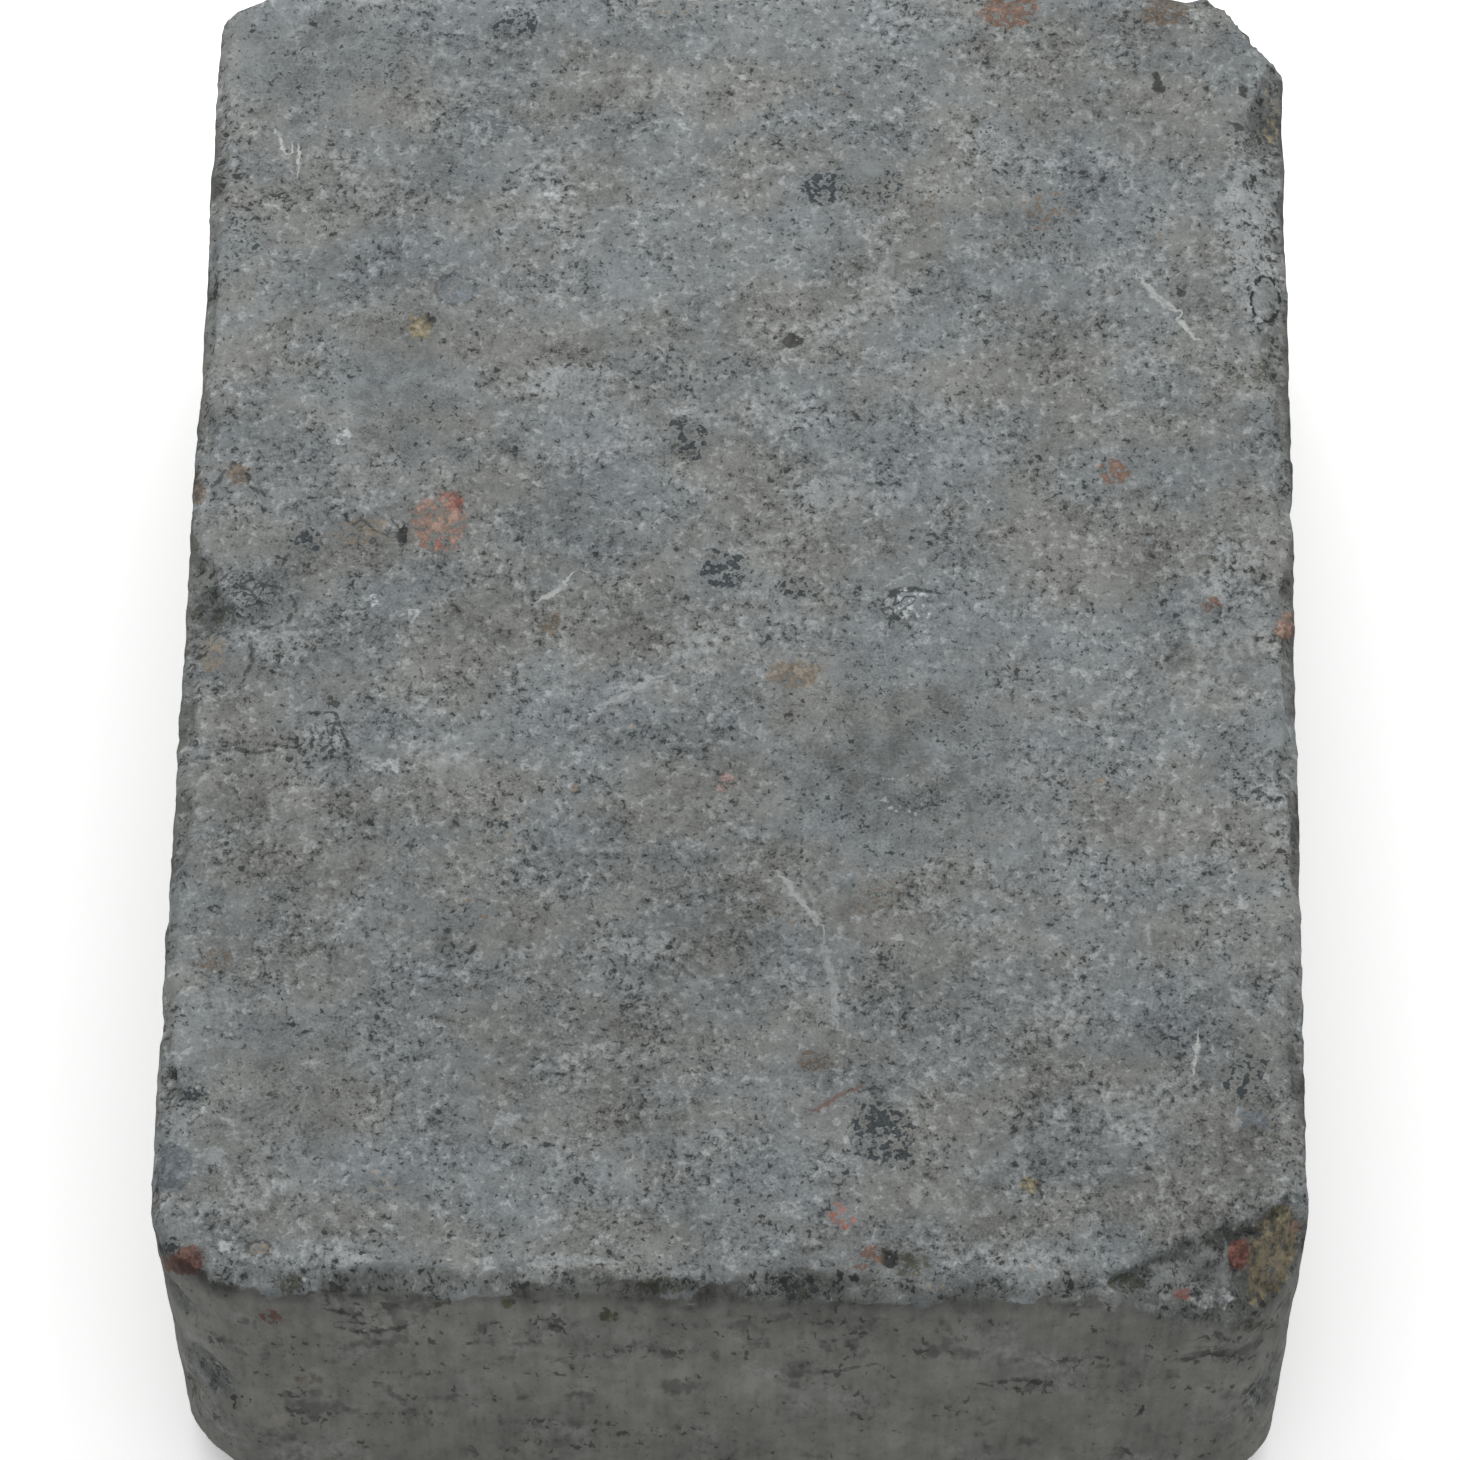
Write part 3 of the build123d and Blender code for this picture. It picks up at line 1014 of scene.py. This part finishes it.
    def settle(self, base: bpy.types.Object) -> None:
        """Lay the lattice onto the CAD solid and note what each point is part of.

        Args:
            base: The lattice.
        """
        low, high = self.sizes()
        points = np.empty(len(base.data.vertices) * 3, np.float32)
        base.data.vertices.foreach_get("co", points)
        points = points.reshape(-1, 3).astype(float)
        outward = points - np.clip(points, low + self.core_depth, high - self.core_depth)
        outward /= np.linalg.norm(outward, axis=1)[:, None]
        tree = BVHTree.FromObject(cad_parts[NODE], bpy.context.evaluated_depsgraph_get())
        settled, normals = points.copy(), outward.copy()
        for number, (point, way) in enumerate(zip(points, outward)):
            hit, normal, _, _ = tree.ray_cast(point + way * self.ray_start, -way)
            settled[number], normals[number] = hit, normal
        base.data.vertices.foreach_set("co", settled.astype(np.float32).ravel())
        seen = ((self.camera.place() - settled) * normals).sum(1) > 0
        below = high[2] - settled[:, 2]
        self.carry(base, "broken", eased(-self.block_distance(settled), *self.break_depths))
        edge = eased(np.hypot(self.plan_distance(settled), below), *self.edge_reach)
        self.carry(base, "edge", edge)
        self.carry(base, "below", below * PER_MM)
        self.carry(base, "bed", eased(settled[:, 2], *self.bed_reach))
        self.carry(base, "seen", seen.astype(float))
        self.place_marks(base, self.camera.project(settled), seen, edge * self.edge_pitting)
        base.data.update()

    def plan_distance(self, points: Points) -> Points:
        """Find how far points lie outside the block's outline in plan.

        Args:
            points: Points in metres.

        Returns:
            Their distances, below zero inside.
        """
        _, high = self.sizes()
        x, y, _ = points.T
        front_left, front_right, back_right, back_left = self.corner_radii
        front = np.where(x < 0, front_left, front_right)
        back = np.where(x < 0, back_left, back_right)
        radius = np.where(y < 0, front, back)
        reach_x, reach_y = np.abs(x) - high[0] + radius, np.abs(y) - high[1] + radius
        inside = np.minimum(np.maximum(reach_x, reach_y), 0) - radius
        return inside + np.hypot(np.maximum(reach_x, 0), np.maximum(reach_y, 0))

    def block_distance(self, points: Points) -> Points:
        """Find how far points lie outside the worn block before it was chipped.

        Args:
            points: Points in metres.

        Returns:
            Their distances, below zero inside.
        """
        low, high = self.sizes()
        z, plan = points[:, 2], self.plan_distance(points)
        distance = np.full(len(points), -1.0)
        for level, arris in ((z - high[2], self.wearing_radius), (low[2] - z, self.bed_radius)):
            out, over = plan + arris, level + arris
            rounded = np.minimum(np.maximum(out, over), 0) - arris
            rounded += np.hypot(np.maximum(out, 0), np.maximum(over, 0))
            distance = np.maximum(distance, rounded)
        return distance

    @staticmethod
    def carry(base: bpy.types.Object, name: str, values: Points) -> None:
        """Give each point a value, or a colour.

        Args:
            base: The lattice.
            name: The name that the value goes by.
            values: A value or a colour for each point.
        """
        kind, key = ("FLOAT_COLOR", "color") if values.ndim == 2 else ("FLOAT", "value")
        made = base.data.attributes.new(name, kind, "POINT")
        made.data.foreach_set(key, values.astype(np.float32).ravel())

    def place_marks(self, base: bpy.types.Object, pixels: Points, seen: Points, pitting: Points) -> None:
        """Place the pebbles, smears, cracks and painted shadow lines that the photograph shows.

        Args:
            base: The lattice on the solid.
            pixels: Where its points show in the photograph.
            seen: Which of them show.
            pitting: How far pores crowd at them before the marks.
        """
        rise = self.place_pebbles(base, pixels, seen)
        self.place_smears(base, pixels, seen, pitting)
        self.place_cracks_and_shadow_lines(base, pixels, seen, rise)
        self.carry(base, "mark_rise", rise * MM)

    def place_pebbles(self, base: bpy.types.Object, pixels: Points, seen: Points) -> Points:
        """Place the pebbles, lumps and holes.

        Args:
            base: The lattice on the solid.
            pixels: Where its points show in the photograph.
            seen: Which of them show.

        Returns:
            How far the points stand out, in millimetres.
        """
        count = len(pixels)
        inner, rim, rise = np.full(count, -FAR), np.zeros(count), np.zeros(count)
        tones = np.ones((count, 4))
        for pebble in PEBBLES:
            depth = (1 - self.oval(pixels, pebble)) * sum(pebble.size) / 4
            depth = np.where(seen, depth / self.pixels_per_mm, -FAR)
            nearer = (depth > inner) & (pebble.bare > 0)
            inner[nearer], rim[nearer] = depth[nearer], pebble.rim
            tones[nearer] = (*pebble.tone.value[:3], pebble.bare)
            rise += eased(depth, *self.pebble_shoulder) * pebble.rise
        self.carry(base, "pebble_field", inner)
        self.carry(base, "pebble_rim", rim)
        self.carry(base, "pebble_tone", tones)
        return rise

    def place_smears(self, base: bpy.types.Object, pixels: Points, seen: Points, pitting: Points) -> None:
        """Place the films, the stains, the painted shadow and the crowded pores.

        Args:
            base: The lattice on the solid.
            pixels: Where its points show in the photograph.
            seen: Which of them show.
            pitting: How far pores crowd at them before the marks.
        """
        stains = np.zeros((len(pixels), 4))
        for smear in SMEARS:
            amount = eased(1 - self.oval(pixels, smear), *self.smear_fade) * smear.amount * seen
            if smear.tone is Tone.PIT:
                pitting = np.maximum(pitting, amount)
                continue
            more = amount > stains[:, 3]
            stains[more, :3] = smear.tone.value[:3]
            stains[more, 3] = amount[more]
        self.carry(base, "smear_tone", stains)
        self.carry(base, "pitting", pitting)

    def place_cracks_and_shadow_lines(self, base: bpy.types.Object, pixels: Points, seen: Points, rise: Points) -> None:
        """Place the cracks, the scratches and the painted shadow lines.

        Args:
            base: The lattice on the solid.
            pixels: Where its points show in the photograph.
            seen: Which of them show.
            rise: How far the points stand out, in millimetres. The grooves are taken off it.
        """
        side, lines = np.full(len(pixels), FAR), np.zeros((len(pixels), 4))
        for crack in CRACKS_AND_SHADOW_LINES:
            apart = self.beside(pixels, crack.path) / self.pixels_per_mm
            widths = np.abs(apart) / crack.width
            near = np.where(seen, eased(widths, *self.crack_widths), 0.0) * crack.amount
            nearer = widths < np.abs(side)
            side[nearer] = apart[nearer] / crack.width
            lines[nearer, :3] = crack.tone.value[:3]
            lines[nearer, 3] = near[nearer]
            groove = max(self.groove_reach, self.groove_widths * crack.width)
            rise -= eased(np.abs(apart), groove, 0.0) * crack.depth * seen
        self.carry(base, "crack_side", side)
        self.carry(base, "crack_and_shadow_tone", lines)

    def oval(self, pixels: Points, mark: Pebble | Smear) -> Points:
        """Find how far pixels lie from the middle of a mark, which is a blunt oval.

        Args:
            pixels: The pixels.
            mark: The mark.

        Returns:
            The distances as shares of the way to the rim.
        """
        offset = pixels - np.array(mark.at)
        angle = math.radians(mark.turn)
        along = offset[:, 0] * math.cos(angle) + offset[:, 1] * math.sin(angle)
        across = offset[:, 1] * math.cos(angle) - offset[:, 0] * math.sin(angle)
        half_width, half_height = mark.size[0] / 2, mark.size[1] / 2
        shares = np.abs(along / half_width) ** self.blunt + np.abs(across / half_height) ** self.blunt
        return shares ** (1 / self.blunt)

    @staticmethod
    def beside(pixels: Points, path: tuple[Pixel, ...]) -> Points:
        """Find how far pixels lie to one side of a path or the other.

        Args:
            pixels: The pixels.
            path: The path's corners.

        Returns:
            The distances, below zero on its left.
        """
        best = np.full(len(pixels), np.inf)
        for start, end in zip(np.array(path[:-1]), np.array(path[1:])):
            way = end - start
            offset = pixels - start
            share = np.clip(offset @ way / (way @ way), 0, 1)
            apart = np.linalg.norm(offset - share[:, None] * way, axis=1)
            turned = np.where(way[0] * offset[:, 1] - way[1] * offset[:, 0] < 0, -1.0, 1.0)
            nearer = apart < np.abs(best)
            best[nearer] = (apart * turned)[nearer]
        return best


PEBBLES: tuple[Pebble, ...] = (
    Pebble((438, 524), (58, 54), Tone.CORAL, 0.58),
    Pebble((454, 508), (22, 26), Tone.RED, 0.75),
    Pebble((438, 542), (44, 18), Tone.RED, 0.55),
    Pebble((362, 530), (52, 30), Tone.TAN, 0.5),
    Pebble((404, 531), (14, 27), Tone.PIT, 0.75, rise=-0.3),
    Pebble((825, 188), (46, 36), Tone.SLATE, 0.52),
    Pebble((885, 185), (34, 32), Tone.SLATE, 0.42),
    Pebble((685, 440), (48, 44), Tone.SLATE, 0.4),
    Pebble((725, 570), (56, 34), Tone.SLATE, 0.48),
    Pebble((800, 588), (34, 24), Tone.SLATE, 0.45),
    Pebble((912, 606), (40, 34), Tone.CHALK, 0.4),
    Pebble((885, 1135), (68, 56), Tone.SLATE, 0.52),
    Pebble((1245, 1075), (44, 50), Tone.SLATE, 0.36),
    Pebble((1250, 1122), (30, 26), Tone.BLUE_GREY, 0.6),
    Pebble((515, 25), (42, 28), Tone.SLATE, 0.42),
    Pebble((1012, 10), (60, 34), Tone.RUST, 0.62),
    Pebble((1165, 12), (46, 26), Tone.BROWN, 0.62),
    Pebble((1115, 475), (38, 32), Tone.RUST, 0.55),
    Pebble((1212, 607), (20, 17), Tone.RUST, 0.6),
    Pebble((1287, 625), (20, 28), Tone.CORAL, 0.75),
    Pebble((795, 675), (60, 26), Tone.TAN, 0.7),
    Pebble((786, 676), (38, 18), Tone.RUST, 0.62),
    Pebble((240, 474), (24, 32), Tone.BROWN, 0.72),
    Pebble((198, 490), (16, 24), Tone.BROWN, 0.85),
    Pebble((343, 435), (14, 13), Tone.CHALK, 1.0),
    Pebble((372, 600), (11, 11), Tone.CHALK, 0.9),
    Pebble((413, 618), (12, 11), Tone.CHALK, 0.8),
    Pebble((326, 738), (40, 46), Tone.PASTE, 0.0, rise=0.5),
    Pebble((222, 655), (56, 84), Tone.PASTE, 0.0, rise=-0.6),
    Pebble((285, 655), (60, 60), Tone.PASTE, 0.0, rise=0.35),
    Pebble((240, 500), (40, 44), Tone.PASTE, 0.0, rise=0.4),
    Pebble((345, 680), (60, 50), Tone.PASTE, 0.0, rise=0.3),
    Pebble((301, 541), (32, 26), Tone.SLATE, 0.46),
    Pebble((253, 592), (58, 40), Tone.SLATE, 0.34),
    Pebble((1238, 1256), (22, 30), Tone.RED, 0.95, rise=0.4),
    Pebble((1272, 1253), (42, 98), Tone.OCHRE, 0.66, turn=16.0),
    Pebble((186, 1261), (42, 25), Tone.BRICK, 1.0, turn=-12.0),
    Pebble((169, 1246), (20, 16), Tone.SLATE, 0.6),
    Pebble((175, 1170), (40, 50), Tone.BLUE_GREY, 0.7),
    Pebble((258, 1249), (24, 18), Tone.TAN, 0.55, 0.6),
    Pebble((1265, 300), (27, 42), Tone.PASTE, 0.5, 1.0),
    Pebble((1158, 82), (12, 28), Tone.HOLE, 0.75, rise=-0.5, turn=-25.0),
    Pebble((455, 290), (40, 30), Tone.BLUE_GREY, 0.52, 0.35),
    Pebble((418, 324), (26, 23), Tone.OCHRE, 0.85),
    Pebble((430, 318), (16, 15), Tone.HOLE, 0.85, rise=-0.3),
    Pebble((790, 340), (25, 14), Tone.HOLE, 0.75, rise=-0.4),
    Pebble((870, 1256), (38, 26), Tone.RUST, 0.52),
    Pebble((889, 1256), (14, 25), Tone.PIT, 0.9, rise=-0.5),
    Pebble((842, 1217), (18, 26), Tone.RED, 0.5, turn=-30.0),
    Pebble((1031, 1187), (24, 17), Tone.OCHRE, 0.7),
    Pebble((815, 1060), (34, 20), Tone.BROWN, 0.6),
    Pebble((875, 895), (44, 36), Tone.BROWN, 0.4),
    Pebble((1050, 210), (50, 40), Tone.BROWN, 0.4),
    Pebble((935, 210), (40, 26), Tone.BROWN, 0.4),
    Pebble((725, 782), (16, 16), Tone.PINK, 0.6),
    Pebble((551, 624), (24, 20), Tone.BROWN, 0.6),
    Pebble((215, 960), (30, 24), Tone.BROWN, 0.45),
    Pebble((1236, 378), (24, 22), Tone.OLIVE, 0.38, rise=-0.4),
    Pebble((1258, 376), (16, 24), Tone.OLIVE, 0.42, rise=-0.4),
    Pebble((1273, 118), (22, 54), Tone.OCHRE, 0.45),
    Pebble((1246, 92), (13, 14), Tone.HOLE, 0.55, rise=-0.4),
    Pebble((1236, 127), (24, 12), Tone.HOLE, 0.45, rise=-0.4),
    Pebble((1258, 145), (28, 18), Tone.HOLE, 0.4, rise=-0.4),
    Pebble((1180, 290), (13, 11), Tone.HOLE, 0.5, rise=-0.3),
    Pebble((220, 616), (30, 18), Tone.OLIVE, 0.4, rise=-0.4),
    Pebble((333, 701), (12, 11), Tone.HOLE, 0.5, rise=-0.3),
    Pebble((187, 1095), (40, 20), Tone.SLATE, 0.55, rise=-0.3),
    Pebble((978, 1276), (26, 20), Tone.OLIVE, 0.35, rise=-0.2),
    Pebble((1128, 1284), (44, 17), Tone.OLIVE, 0.6, rise=-0.5),
    Pebble((1171, 1287), (15, 12), Tone.HOLE, 0.45, rise=-0.3),
    Pebble((1181, 1292), (17, 14), Tone.RED, 0.5),
    Pebble((1212, 1298), (36, 19), Tone.CHALK, 0.8),
    Pebble((1235, 1308), (17, 13), Tone.HOLE, 0.42, rise=-0.3),
    Pebble((1292, 1228), (14, 20), Tone.CORAL, 0.55),
    Pebble((270, 1314), (24, 12), Tone.BRICK, 0.5, turn=18.0),
    Pebble((608, 1317), (18, 14), Tone.OLIVE, 0.5),
    Pebble((416, 1307), (16, 12), Tone.OLIVE, 0.65),
    Pebble((237, 1402), (16, 11), Tone.HOLE, 0.42, rise=-0.3),
    Pebble((190, 1388), (16, 24), Tone.OLIVE, 0.5, rise=-0.6),
    Pebble((1134, 1409), (18, 12), Tone.HOLE, 0.38, rise=-0.3),
)

SMEARS: tuple[Smear, ...] = (
    Smear((575, 382), (140, 60), amount=1.0),
    Smear((820, 495), (120, 70), amount=0.75),
    Smear((640, 945), (240, 70), amount=0.55),
    Smear((700, 640), (120, 96), amount=0.6),
    Smear((385, 766), (44, 38), Tone.CHALK, 0.7),
    Smear((575, 790), (18, 18), Tone.TAN, 1.0),
    Smear((285, 648), (72, 60), amount=0.9),
    Smear((248, 590), (84, 60), amount=0.6),
    Smear((225, 1246), (26, 23), Tone.CHALK, 1.0),
    Smear((215, 1157), (40, 34), amount=1.0),
    Smear((230, 845), (42, 38), amount=0.9),
    Smear((1250, 230), (110, 340), amount=0.75),
    Smear((1180, 180), (70, 40), amount=0.4),
    Smear((225, 740), (60, 80), amount=0.4),
    Smear((240, 1200), (100, 90), amount=0.5),
    Smear((1020, 1255), (260, 60), amount=0.5),
    Smear((340, 1258), (120, 30), amount=0.7),
    Smear((570, 1262), (160, 30), amount=0.7),
    Smear((430, 60), (60, 40), amount=0.4),
    Smear((210, 650), (70, 70), Tone.TAN, 0.5),
    Smear((288, 1283), (84, 44), Tone.OLIVE, 0.62),
    Smear((660, 1286), (90, 36), Tone.OLIVE, 0.6),
    Smear((800, 1288), (130, 44), Tone.OLIVE, 0.45),
    Smear((912, 1264), (80, 48), Tone.OLIVE, 0.62),
    Smear((607, 1317), (40, 20), Tone.MOSS, 0.8),
    Smear((1190, 1274), (160, 56), amount=1.0, turn=-12.0),
    # A painted shadow in an olive tone, below the spall's step and above the ochre stone.
    Smear((1278, 1212), (50, 22), Tone.OLIVE, 0.7, turn=-28.0),
    Smear((1255, 1325), (90, 28), Tone.OLIVE, 0.55),
    Smear((308, 1377), (54, 22), Tone.BROWN, 0.5),
    Smear((300, 1402), (100, 56), Tone.PIT, 0.5),
    Smear((380, 1318), (130, 44), Tone.PIT, 0.45),
    Smear((550, 1326), (76, 32), Tone.PIT, 0.8),
    Smear((640, 1350), (160, 26), Tone.PIT, 0.75),
    Smear((679, 1386), (70, 36), Tone.PIT, 0.85),
    Smear((720, 1330), (140, 44), Tone.PIT, 0.4),
    Smear((840, 1368), (120, 26), Tone.PIT, 0.5),
    Smear((1075, 1325), (100, 34), Tone.PIT, 0.4),
    Smear((1030, 1388), (84, 32), Tone.PIT, 0.75),
    Smear((1230, 1357), (140, 22), Tone.PIT, 0.6),
    Smear((1122, 1446), (70, 36), Tone.PIT, 0.7),
    Smear((860, 1409), (60, 46), Tone.PIT, 0.5),
    Smear((225, 1340), (70, 70), Tone.PIT, 0.4),
    Smear((1235, 1395), (60, 60), Tone.PIT, 0.35),
    Smear((310, 745), (110, 50), Tone.PIT, 0.18),
    Smear((280, 205), (50, 40), Tone.PIT, 0.6),
    Smear((230, 870), (70, 60), Tone.PIT, 0.6),
    Smear((1260, 820), (70, 130), Tone.PIT, 0.35),
    Smear((1245, 140), (56, 44), Tone.PIT, 0.3),
    Smear((800, 1284), (130, 44), Tone.PIT, 0.4),
    Smear((288, 1280), (70, 34), Tone.PIT, 0.45),
    Smear((660, 1282), (80, 30), Tone.PIT, 0.4),
    Smear((520, 1282), (40, 26), Tone.PIT, 0.5),
    Smear((509, 1304), (22, 18), Tone.MOSS, 0.9),
    Smear((205, 616), (60, 26), Tone.OLIVE, 0.6),
    Smear((900, 760), (460, 380), Tone.SHADE, 0.5),
    Smear((320, 60), (360, 200), Tone.SHADE, 0.45),
    Smear((400, 390), (260, 280), Tone.SHADE, 0.45),
    Smear((300, 1080), (240, 260), Tone.SHADE, 0.45),
    Smear((1230, 600), (150, 260), amount=0.6),
)

CRACKS_AND_SHADOW_LINES: tuple[CrackOrShadowLine, ...] = (
    CrackOrShadowLine(((204, 490), (220, 479), (234, 460), (247, 464), (250, 486), (262, 492)), 0.3),
    CrackOrShadowLine(((318, 712), (333, 714), (341, 728), (346, 741)), 0.35, 0.2, 0.8),
    CrackOrShadowLine(((326, 725), (333, 750)), 0.22),
    CrackOrShadowLine(((205, 757), (232, 748), (262, 752), (297, 745)), 0.3),
    CrackOrShadowLine(((250, 636), (252, 662), (244, 676)), 0.35, 0.2),
    CrackOrShadowLine(((190, 612), (205, 606), (232, 608), (250, 618)), 0.4, 0.3, 0.6),
    CrackOrShadowLine(((214, 592), (216, 583), (227, 574)), 0.25),
    CrackOrShadowLine(((286, 590), (297, 600), (296, 612), (284, 622), (262, 630)), 0.3),
    CrackOrShadowLine(((886, 618), (882, 606), (888, 594), (905, 588), (932, 590)), 0.4, 0.2, 0.8),
    CrackOrShadowLine(((888, 604), (896, 618), (906, 610)), 0.4, 0.2, 0.8),
    CrackOrShadowLine(((346, 518), (356, 526), (370, 540)), 0.25, 0.1, 0.6),
    CrackOrShadowLine(((362, 519), (374, 530), (386, 535)), 0.25, 0.1, 0.6),
    CrackOrShadowLine(((396, 522), (404, 531), (402, 544)), 0.3, 0.2, 0.6),
    CrackOrShadowLine(((818, 1109), (838, 1097), (858, 1086)), 0.4, 0.1, 0.7, Tone.BRICK),
    CrackOrShadowLine(((330, 1311), (345, 1314), (360, 1316)), 0.35),
    CrackOrShadowLine(((342, 1329), (376, 1331), (409, 1325)), 0.3),
    CrackOrShadowLine(((544, 1321), (552, 1327), (562, 1331)), 0.35),
    CrackOrShadowLine(((573, 1357), (600, 1355), (618, 1358)), 0.3, 0.1, 0.5),
    CrackOrShadowLine(((982, 1385), (1008, 1383), (1041, 1382)), 0.35),
    CrackOrShadowLine(((1018, 1390), (1028, 1397), (1036, 1386)), 0.35),
    CrackOrShadowLine(((808, 1372), (840, 1371), (875, 1365)), 0.25, 0.1, 0.5),
    CrackOrShadowLine(((1205, 1337), (1215, 1335), (1228, 1339)), 0.4),
    CrackOrShadowLine(((1174, 1360), (1200, 1356), (1235, 1357)), 0.3, 0.1, 0.5),
    CrackOrShadowLine(((310, 1293), (316, 1288), (326, 1291), (329, 1300)), 0.3, 0.1, 0.5),
    # The spall's upper edge: a real groove, with a dark line painted as the shadow of its step.
    CrackOrShadowLine(((1105, 1284), (1150, 1270), (1205, 1250), (1250, 1234)), 0.9, 0.7, 0.36),
    CrackOrShadowLine(((1250, 1234), (1275, 1215), (1296, 1200)), 1.0, 0.7, 0.36),
    CrackOrShadowLine(((1258, 1290), (1264, 1262), (1276, 1238)), 0.22, 0.0, 0.55, Tone.TAN),
    CrackOrShadowLine(((1268, 1284), (1280, 1256), (1286, 1226)), 0.22, 0.0, 0.55, Tone.TAN),
    CrackOrShadowLine(((1262, 1250), (1274, 1262), (1284, 1268)), 0.2, 0.0, 0.45, Tone.TAN),
    CrackOrShadowLine(((238, 585), (250, 590), (258, 600), (268, 603)), 0.28, 0.0, 0.7),
    CrackOrShadowLine(((250, 577), (262, 584), (276, 586)), 0.28, 0.0, 0.7),
    CrackOrShadowLine(((279, 137), (282, 147)), 0.35, 0.0, 0.75, Tone.SCRATCH),
    CrackOrShadowLine(((298, 154), (297, 165)), 0.35, 0.0, 0.75, Tone.SCRATCH),
    CrackOrShadowLine(((612, 700), (632, 689), (652, 680)), 0.6, 0.0, 0.85, Tone.CHALK),
    CrackOrShadowLine(((545, 596), (556, 590), (566, 580)), 0.45, 0.0, 0.6, Tone.SCRATCH),
    CrackOrShadowLine(((785, 880), (800, 900), (818, 920)), 0.5, 0.0, 0.8, Tone.CHALK),
    CrackOrShadowLine(((826, 950), (833, 985), (838, 1015)), 0.6, 0.0, 0.6, Tone.CHALK),
    CrackOrShadowLine(((1197, 1044), (1195, 1066)), 0.4, 0.0, 0.65, Tone.SCRATCH),
    CrackOrShadowLine(((1148, 285), (1158, 298), (1172, 308)), 0.6, 0.0, 0.55, Tone.SCRATCH),
    CrackOrShadowLine(((1176, 320), (1194, 336)), 0.35, 0.0, 0.65, Tone.SCRATCH),
)


def main() -> None:
    """Build the stone and its studio, and report the piece."""
    logging.basicConfig(level=logging.INFO, format="%(name)s: %(message)s")
    stone = PavingStone().build()
    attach(stone, "root")
    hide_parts(NODE)
    triangles = sum(len(face.vertices) - 2 for face in stone.data.polygons)
    LOG.info("%s: %d points, %d triangles", stone.name, len(stone.data.vertices), triangles)
    Studio().build()
    PhotoCamera().build()


if __name__ == "__main__":
    main()
